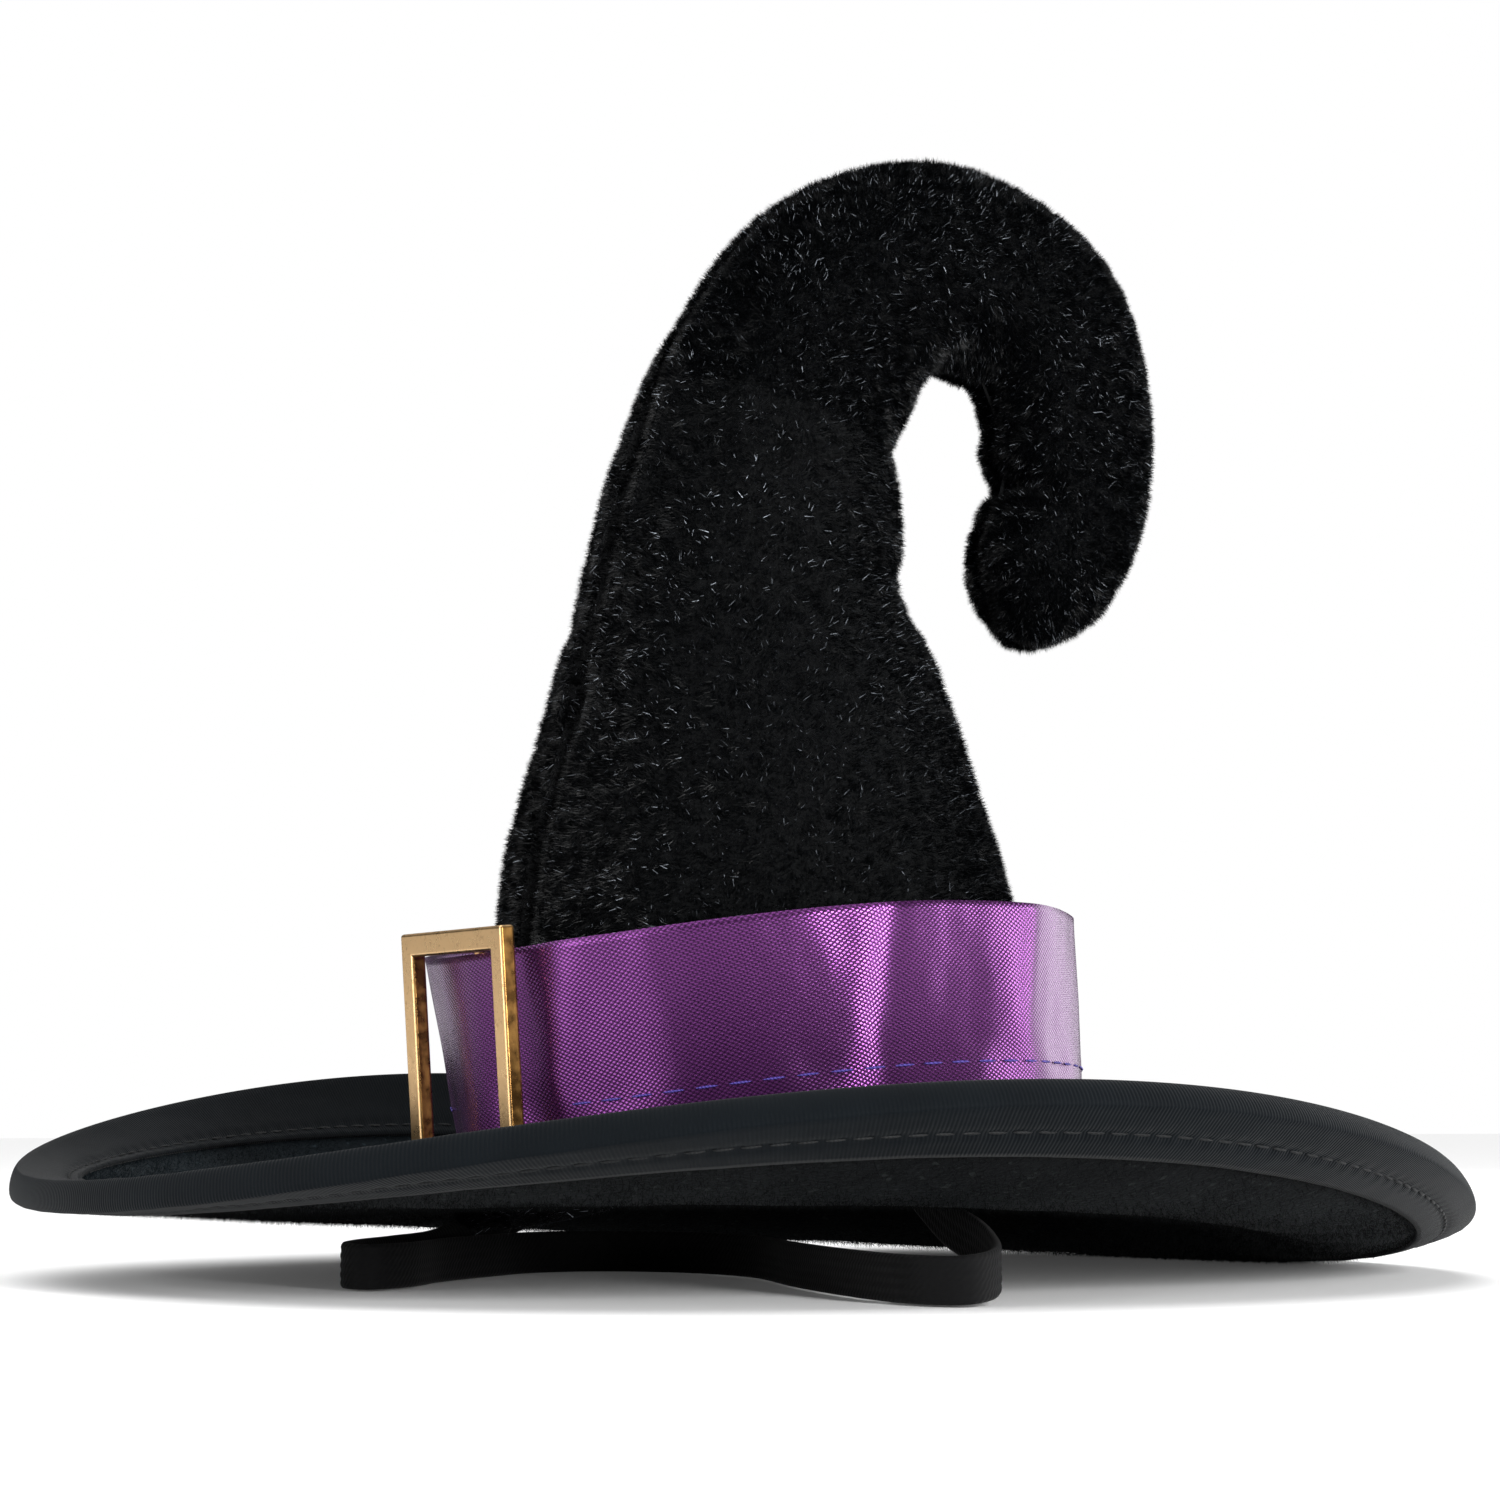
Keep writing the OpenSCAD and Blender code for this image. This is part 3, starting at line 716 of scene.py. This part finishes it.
half_cols = crown_cols // 2
pile_split = 62
pile_fibres = 190000
pile_length = 1.4 * MM
pile_width = 0.12 * MM
pile_spread = 0.45
pile_droop = (0, 0, -0.3)
for side, first in (("right", 0), ("left", half_cols)):
    cols = [(first + j) % crown_cols for j in range(half_cols + 1)]
    width = len(cols)
    outer_skin = [crown_verts[i * crown_cols + c] for i in range(crown_rows + 1) for c in cols]
    inner_skin = [crown_verts[i * crown_cols + c] - plush_t * crown_normals[i * crown_cols + c]
                  for i in range(crown_rows + 1) for c in cols]
    shift = len(outer_skin)
    outer_faces = []
    for i in range(crown_rows):
        for j in range(width - 1):
            a, b = i * width + j, (i + 1) * width + j
            outer_faces.append((a, a + 1, b + 1, b))
    wall = [tuple(shift + k for k in reversed(f)) for f in outer_faces]
    for i in range(crown_rows):
        for j, turn in ((0, False), (width - 1, True)):
            a, b = i * width + j, (i + 1) * width + j
            quad = (a, b, b + shift, a + shift)
            wall.append(quad[::-1] if turn else quad)
    for i, turn in ((0, True), (crown_rows, False)):
        for j in range(width - 1):
            a = i * width + j
            quad = (a, a + 1, a + 1 + shift, a + shift)
            wall.append(quad[::-1] if turn else quad)
    panel = mesh_piece("plush_panel_" + side, outer_skin + inner_skin, outer_faces + wall, plush)
    softer = panel.modifiers.new("rounding", "SUBSURF")
    softer.levels = 1
    softer.render_levels = 1
    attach(panel, "hat")
    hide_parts("crown_panel_" + side)
    for part, low, high, seed in (("foot", 0, pile_split, 21), ("curl", pile_split, crown_rows, 31)):
        chosen = outer_faces[low * (width - 1):high * (width - 1)]
        ground = patch("pile_ground", outer_skin, chosen)
        fur = grow(f"plush_pile_{side}_{part}", ground, share, pile_fibres, pile_length, pile_width,
                   pile_spread, pile_droop, seed + first, pile)
        bpy.data.objects.remove(ground)
        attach(fur, "hat")


# ---- Stuffing and lining: polyester wadding closed in by a disc of black cloth ----
# The wadding fills the crown and is hidden. The lining is the flat disc that is seen
# from beneath, hemmed to the inner edge of the brim.

wadding, tree, shader = new_material(
    "polyester_wadding", Base_Color=linear("#e8e6e0"), Roughness=0.95, Subsurface_Weight=0.1)
place = node(tree, "ShaderNodeTexCoord").outputs["Object"]
tufts = node(tree, "ShaderNodeTexNoise", None, {"Vector": place}, {"Scale": 300.0, "Detail": 6.0})
bump = node(tree, "ShaderNodeBump", None, {"Height": tufts.outputs["Fac"]},
            {"Strength": 0.8, "Distance": 0.001})
tree.links.new(bump.outputs[0], shader.inputs["Normal"])

lining, tree, shader = new_material(
    "polyester_lining", Base_Color=linear("#16181a"), Roughness=0.7, Sheen_Weight=0.15)
place = node(tree, "ShaderNodeTexCoord").outputs["Object"]
# Plain weave, drawn at 0.5 mm so that it shows.
weave_pitch = 0.5 * MM
warp, weft = (node(tree, "ShaderNodeTexWave", {"bands_direction": way}, {"Vector": place},
                   {"Scale": unit_bands / weave_pitch}) for way in "XY")
weave = node(tree, "ShaderNodeMath", {"operation": "MULTIPLY"},
             {0: warp.outputs["Fac"], 1: weft.outputs["Fac"]})
bump = node(tree, "ShaderNodeBump", None, {"Height": weave.outputs[0]},
            {"Strength": 0.5, "Distance": 0.0002})
tree.links.new(bump.outputs[0], shader.inputs["Normal"])

wadding_gap = plush_t + 0.5 * MM
wadding_rows = range(3, crown_rows, 2)
filling = [crown_verts[i * crown_cols + j] - wadding_gap * crown_normals[i * crown_cols + j]
           for i in wadding_rows for j in range(crown_cols)]
faces = tube_faces(len(wadding_rows), crown_cols)
faces.append(tuple(reversed(range(crown_cols))))
faces.append(tuple((len(wadding_rows) - 1) * crown_cols + j for j in range(crown_cols)))
core_fill = mesh_piece("crown_wadding", filling, faces, wadding)
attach(core_fill, "hat")
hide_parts("crown_stuffing")

lining_r = SPINE[0][2] * MM - plush_t - 1 * MM
lining_rings = 26
lining_turns = 120
lining_middle_z = 17 * MM
lining_half = 0.35 * MM
rows, coords = [], []
for i in range(lining_turns):
    a = 2 * math.pi * i / lining_turns
    row, row_uv = [], []
    for side in (-1, 1):
        steps = range(lining_rings + 1) if side < 0 else reversed(range(lining_rings + 1))
        for j in steps:
            e = max(j / lining_rings, 0.004)
            z = e * seam_height(a) + (1 - e) * lining_middle_z - 0.6 * MM + side * lining_half
            pucker = 0.35 * MM * math.cos(34 * a) * e ** 6 * (1 if e < 0.98 else 0)
            sag = 0.5 * MM * noise.noise(Vector((math.cos(a) * e, math.sin(a) * e, 0)) * 3)
            p = seam_c + e * lining_r * Vector((math.cos(a), math.sin(a)))
            row.append(Vector((p.x, p.y, z + pucker + sag * (1 - e))))
            row_uv.append((p.x, p.y))
    rows.append(row)
    coords.append(row_uv)
disc = closed_ring("crown_lining_disc", rows, lining, coords)
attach(disc, "hat")
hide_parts("crown_lining")


# ---- Hat band: purple satin ribbon round the foot of the crown ----
# Single-faced polyester satin 25 mm wide, lapped at the back. It stands off the plush in
# soft vertical folds and is caught by a running stitch near its lower edge.

band_w = 25 * MM
band_t = 0.35 * MM
band_r = 43.9 * MM
band_flare = 1.7 * MM
band_bulge = 2.6 * MM
band_slack = 0.16 * MM
fold_slant = 9
stitch_h = 4 * MM / band_w
band_stitch_pitch = 4.4 * MM
# Soft folds: angle in degrees, width in degrees, height in mm.
FOLDS = [
    (-64, 6, 0.85), (-28, 12, -0.5), (-9, 7, 0.8), (7, 8, -0.5), (24, 7, 0.6), (42, 10, -0.4),
    (70, 9, 0.5), (118, 11, 0.5), (150, 9, -0.5), (176, 8, 0.6), (205, 12, -0.4), (238, 7, 0.5),
]


def band_pt(a, h, n):
    """Ribbon surface at angle a in radians: h is 0 at its lower edge and 1 at its upper."""
    degrees = math.degrees(a)
    bulge = 0
    if math.cos(a - front_angle) > 0.9:
        bulge = band_bulge * max(0, math.cos(5 * (a - front_angle))) ** 2
    folds = 0
    for centre, width, height in FOLDS:
        off = (degrees - centre - fold_slant * (h - 0.5) + 180) % 360 - 180
        folds += height * MM * math.exp(-(off / width) ** 2)
    slack = noise.noise(Vector((math.cos(a) * 5.2, math.sin(a) * 5.2, h * 1.7)))
    slack += 0.5 * noise.noise(Vector((math.cos(a) * 11 + h * 2, math.sin(a) * 11, h * 3.4 + 7)))
    folds += band_slack * slack
    loose = 0.35 + 0.65 * min(1, h / 0.3)
    r = band_r + band_flare * h + bulge * (1 - h) + folds * loose - n
    z = wave(a, 22.9, 0.25, 2.75, 1.7) + h * band_w
    return Vector((r * math.cos(a), seam_c.y - 3 * MM * h + r * math.sin(a), z))


satin, tree, shader = new_material(
    "polyester_satin_purple", Base_Color=linear("#5a2468"), Roughness=0.27, Metallic=0.8,
    Specular_IOR_Level=0.5, Anisotropic=0.75, Anisotropic_Rotation=0.25, Coat_Weight=0.1,
    Coat_Roughness=0.35, Sheen_Weight=0.08, Sheen_Roughness=0.3, Sheen_Tint=linear("#e2c6f2"))
grain = node(tree, "ShaderNodeTangent", {"direction_type": "UV_MAP", "uv_map": "cloth"})
tree.links.new(grain.outputs[0], shader.inputs["Tangent"])
uv = node(tree, "ShaderNodeUVMap", {"uv_map": "cloth"})
# Satin floats cross the ribbon on the slant and show as rows of small diamonds; the sunken gaps between them
# are painted near-black as painted shade.
float_long = 0.62 * MM
float_wide = 0.42 * MM
slant = node(tree, "ShaderNodeMapping", None, {"Vector": uv.outputs[0]},
             {"Rotation": (0, 0, math.radians(38)), "Scale": (1 / float_long, 1 / float_wide, 1)})
floats = node(tree, "ShaderNodeTexVoronoi", None, {"Vector": slant.outputs[0]},
              {"Scale": 1.0, "Randomness": 0.0})
shade = node(tree, "ShaderNodeMapRange", None, {"Value": floats.outputs["Distance"]}, {"From Max": 0.7})
# Painted shade: the colour runs from the float colour to near-black towards the gaps between the floats.
tint = node(tree, "ShaderNodeMix", {"data_type": "RGBA"}, {"Factor": shade.outputs[0]},
            {"A": linear("#8a4395"), "B": linear("#16041e")})
bump = node(tree, "ShaderNodeBump", {"invert": True}, {"Height": floats.outputs["Distance"]},
            {"Strength": 0.6, "Distance": 0.00012})
tree.links.new(tint.outputs["Result"], shader.inputs["Base Color"])
tree.links.new(bump.outputs[0], shader.inputs["Normal"])
tree.links.new(bump.outputs[0], shader.inputs["Coat Normal"])

lap = 12
band_start = 96
band_steps = 960
band_heights = [j / 24 for j in range(25)]
verts, faces, uvs = [], [], []
for i in range(band_steps + 1):
    turn = (360 + lap) * i / band_steps
    a = math.radians(band_start + turn)
    over = 0.6 * MM * max(0, min(1, (turn - 350 + lap) / lap))
    for face_side in (0, 1):
        for h in band_heights:
            selvedge = 0.1 * MM * sum(math.exp(-((h - edge) / 0.012) ** 2) for edge in (0.012, 0.988))
            puckers = 0.12 * MM * math.exp(-((h - stitch_h) / 0.1) ** 2)
            puckers *= math.cos(a * 2 * band_r / band_stitch_pitch)
            n = -over + (band_t if face_side else -selvedge + puckers)
            verts.append(band_pt(a, h, n))
            uvs.append((math.radians(turn) * band_r, h * band_w))
row = 2 * len(band_heights)
top = len(band_heights)
for i in range(band_steps):
    for j in range(top - 1):
        a, b = i * row + j, (i + 1) * row + j
        faces.append((a, b, b + 1, a + 1))
        faces.append((a + top, a + 1 + top, b + 1 + top, b + top))
    a, b = i * row, (i + 1) * row
    faces.append((a, a + top, b + top, b))
    faces.append((a + top - 1, b + top - 1, b + row - 1, a + row - 1))
for j in range(top - 1):
    faces.append((j, j + 1, j + 1 + top, j + top))
    end = band_steps * row
    faces.append((end + j, end + j + top, end + j + 1 + top, end + j + 1))
band = mesh_piece("satin_hat_band", verts, faces, satin, uv=uvs)
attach(band, "hat")
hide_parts("hat_band")

# Running stitch: violet thread round the ribbon, stopping either side of the buckle.
violet = thread_material("polyester_thread_violet", "#33286f", "#55479c")
free = 24
stitch_steps = 600
stitch_angles = [front_angle + math.radians(free + k * (360 - 2 * free) / stitch_steps)
                 for k in range(stitch_steps + 1)]
sew("running_stitch_band", [band_pt(a, stitch_h, -0.12 * MM) for a in stitch_angles],
    band_stitch_pitch, 3 * MM, 0.17 * MM, violet, "band_stitch")


# ---- Buckle: a pale gold slide buckle threaded on the ribbon at the front ----
# Die-cast zinc plated in pale gold: a square frame with softened edges, its faces that turn toward ±X
# coloured a darker, blotchy bronze, and a round centre bar behind the ribbon.

buckle_w = 28.5 * MM
bar_w = 3.2 * MM
bar_d = 2.2 * MM
pin_d = 1.6 * MM
lug_w = 3.2 * MM
lug_h = 1.6 * MM
buckle_lean = math.radians(4)
slot_h = band_w + 1.2 * MM
frame_h = slot_h + 2 * bar_w
pin_y = -41.9 * MM
back_y = -44.3 * MM
foot = 14.6 * MM

gold, tree, shader = new_material(
    "gold_plated_zinc", Base_Color=linear("#d9b06f"), Metallic=1.0, Roughness=0.26)
coords = node(tree, "ShaderNodeTexCoord")
apart = node(tree, "ShaderNodeSeparateXYZ", None, {"Vector": coords.outputs["Normal"]})
flank = node(tree, "ShaderNodeMath", {"operation": "ABSOLUTE"}, {0: apart.outputs["X"]})
blotches = node(tree, "ShaderNodeTexNoise", None, {"Vector": coords.outputs["Object"]},
            {"Scale": 520.0, "Detail": 5.0})
scuff = node(tree, "ShaderNodeTexNoise", None, {"Vector": coords.outputs["Object"]},
             {"Scale": 1600.0, "Detail": 2.0})
patches = node(tree, "ShaderNodeMapRange", None, {"Value": blotches.outputs["Fac"]},
               {"From Min": 0.42, "From Max": 0.6})
bronze = node(tree, "ShaderNodeMix", {"data_type": "RGBA"}, {"Factor": patches.outputs[0]},
              {"A": linear("#6e4f2b"), "B": linear("#9c7440")})
on_flank = node(tree, "ShaderNodeMapRange", None, {"Value": flank.outputs[0]},
                {"From Min": 0.75, "From Max": 0.95})
marks = node(tree, "ShaderNodeMapRange", None, {"Value": scuff.outputs["Fac"]},
             {"From Min": 0.6, "From Max": 0.72, "To Max": 0.45})
front = node(tree, "ShaderNodeMix", {"data_type": "RGBA"}, {"Factor": marks.outputs[0]},
             {"A": linear("#e0b985"), "B": linear("#9a6f45")})
# Faces whose normal points along ±X take the darker, blotchy bronze; the others are pale gold with darker
# scuffs.
plating = node(tree, "ShaderNodeMix", {"data_type": "RGBA"},
               {"Factor": on_flank.outputs[0], "A": front.outputs["Result"], "B": bronze.outputs["Result"]})
dull = node(tree, "ShaderNodeMapRange", None, {"Value": blotches.outputs["Fac"]}, {"To Min": 0.18, "To Max": 0.4})
tree.links.new(plating.outputs["Result"], shader.inputs["Base Color"])
tree.links.new(dull.outputs[0], shader.inputs["Roughness"])

# The frame leans back with the crown, about its foot.
middle = seam_c.to_3d()
lean_back = Matrix.Translation(middle) @ Matrix.Rotation(front_angle + math.pi / 2, 4, "Z")
lean_back @= Matrix.Translation(-middle)
lean_back @= Matrix.Translation((0, pin_y, foot)) @ Matrix.Rotation(buckle_lean, 4, "X")
lean_back @= Matrix.Translation((0, -pin_y, 0))


def softened(name, build, width, steps):
    """A hard piece built by the function, leant back, with its edges rounded."""
    bm = bmesh.new()
    build(bm)
    bmesh.ops.remove_doubles(bm, verts=bm.verts, dist=1e-6)
    bmesh.ops.recalc_face_normals(bm, faces=bm.faces)
    mesh = bpy.data.meshes.new(name)
    bm.to_mesh(mesh)
    bm.free()
    mesh.transform(lean_back)
    obj = add_object(name, mesh)
    mesh.materials.append(gold)
    mesh.polygons.foreach_set("use_smooth", [True] * len(mesh.polygons))
    edge = obj.modifiers.new("edges", "BEVEL")
    edge.width = width
    edge.segments = steps
    edge.limit_method = "ANGLE"
    edge.angle_limit = math.radians(40)
    edge.harden_normals = True
    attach(obj, "buckle")
    return obj


def square_frame(bm):
    """The frame as four square loops joined into a closed ring."""
    half = buckle_w / 2
    loops = []
    for inset, y in ((0, back_y - bar_d), (bar_w, back_y - bar_d), (bar_w, back_y), (0, back_y)):
        side, top = half - inset, frame_h - inset
        corners = ((-side, inset), (side, inset), (side, top), (-side, top))
        loops.append([bm.verts.new((x, y, z)) for x, z in corners])
    for k in range(4):
        for j in range(4):
            here, after = loops[k], loops[(k + 1) % 4]
            bm.faces.new((here[j], here[(j + 1) % 4], after[(j + 1) % 4], after[j]))


def centre_bar(bm):
    """The round bar behind the ribbon, let into the frame at both ends."""
    height = slot_h + 1.6 * MM
    made = bmesh.ops.create_cone(bm, cap_ends=True, segments=32, radius1=pin_d / 2,
                                 radius2=pin_d / 2, depth=height)
    bmesh.ops.translate(bm, verts=made["verts"], vec=(0, pin_y, bar_w - 0.8 * MM + height / 2))


buckle = softened("buckle_frame", square_frame, 0.45 * MM, 4)
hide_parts("buckle")
bar = softened("buckle_centre_bar", centre_bar, 0.1 * MM, 2)


def lug(bm, z):
    """A block that carries the centre bar's end behind the frame, from height z up."""
    made = bmesh.ops.create_cube(bm, size=1)
    depth = pin_y - back_y + 0.9 * MM
    bmesh.ops.scale(bm, verts=made["verts"], vec=(lug_w, depth, lug_h))
    bmesh.ops.translate(bm, verts=made["verts"], vec=(0, back_y - 0.3 * MM + depth / 2, z + lug_h / 2))


for name, z in (("buckle_lug_bottom", bar_w - lug_h), ("buckle_lug_top", bar_w + slot_h)):
    softened(name, lambda bm: lug(bm, z), 0.25 * MM, 3)

# A loop of clear nylon thread holds the frame's lower corner to the ribbon.
nylon, tree, shader = new_material(
    "clear_nylon_thread", Base_Color=linear("#f2f4f4"), Roughness=0.12, Transmission_Weight=0.85, IOR=1.53)
tie_steps = 28
loop_points = []
for k in range(tie_steps + 1):
    c = 2 * math.pi * k / tie_steps
    loop_points.append(Vector((-9.6 * MM + 0.9 * MM * math.sin(2 * c),
                               back_y - bar_d / 2 + 1.5 * MM * math.sin(c),
                               bar_w - 0.7 * MM + 1.1 * bar_w / 2 * math.cos(c))))
curve = bpy.data.curves.new("clear_tie", "CURVE")
curve.dimensions = "3D"
strand = curve.splines.new("POLY")
strand.points.add(len(loop_points) - 1)
for point, p in zip(strand.points, loop_points):
    point.co = (lean_back @ p).to_4d()
curve.bevel_depth = 0.09 * MM
curve.bevel_resolution = 2
holder = add_object("clear_tie_curve", curve)
tie_mesh = baked_mesh(holder)
bpy.data.objects.remove(holder)
tie = add_object("buckle_clear_tie", tie_mesh)
tie_mesh.materials.clear()
tie_mesh.materials.append(nylon)
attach(tie, "buckle")


# ---- Studio: a pale sweep and large soft lights ----
# Tall soft boxes give the satin its upright bright bands and leave the black cloth dark.

paper, tree, shader = new_material(
    "paper_sweep_white", Base_Color=(0.97, 0.97, 0.97, 1), Roughness=0.9,
    Emission_Color=(1, 1, 1, 1), Emission_Strength=0.04)
floor = mesh_piece("floor", [(-3, -3, 0), (3, -3, 0), (3, 3, 0), (-3, 3, 0)], [(0, 1, 2, 3)], paper)
world = bpy.data.worlds.new("studio")
bpy.context.scene.world = world
world.use_nodes = True
# The sweep behind is seen pure white, while the room fills the shadows only softly.
room = world.node_tree.nodes["Background"]
room.inputs["Color"].default_value = (1, 1, 1, 1)
room.inputs["Strength"].default_value = 0.1
sweep = node(world.node_tree, "ShaderNodeBackground", None, None, {"Color": (1, 1, 1, 1), "Strength": 1.0})
seen = node(world.node_tree, "ShaderNodeLightPath")
both = node(world.node_tree, "ShaderNodeMixShader", None,
            {0: seen.outputs["Is Camera Ray"], 1: room.outputs[0], 2: sweep.outputs[0]})
world.node_tree.links.new(both.outputs[0], world.node_tree.nodes["World Output"].inputs["Surface"])
bpy.context.scene.view_settings.view_transform = "Standard"


light_distance = 0.9
box_height = 0.5
light_aim = Vector((0, 0, 0.05))


def soft_box(name, azimuth, elevation, width, watts):
    """A rectangular light at that bearing round the hat (0 is +X, 90 is +Y), facing it."""
    data = bpy.data.lights.new(name, "AREA")
    data.shape = "RECTANGLE"
    data.size = width
    data.size_y = box_height
    data.energy = watts
    light = add_object(name, data)
    az, el = math.radians(azimuth), math.radians(elevation)
    bearing = Vector((math.cos(el) * math.cos(az), math.cos(el) * math.sin(az), math.sin(el)))
    light.location = light_distance * bearing
    light.rotation_euler = (light_aim - light.location).to_track_quat("-Z", "Y").to_euler()


for name, azimuth, elevation, width, watts in (
        ("front_left", -84, 14, 0.5, 4.6), ("right_near", 4, 12, 0.11, 10.5),
        ("right_mid", 70, 12, 0.22, 4.6), ("right_far", 108, 14, 0.5, 1.8)):
    soft_box(name, azimuth, elevation, width, watts)
ceiling = add_object("ceiling", bpy.data.lights.new("ceiling", "SUN"))
ceiling.data.energy = 2.75
ceiling.data.angle = math.radians(75)
ceiling.rotation_euler = (math.radians(12), math.radians(-14), 0)
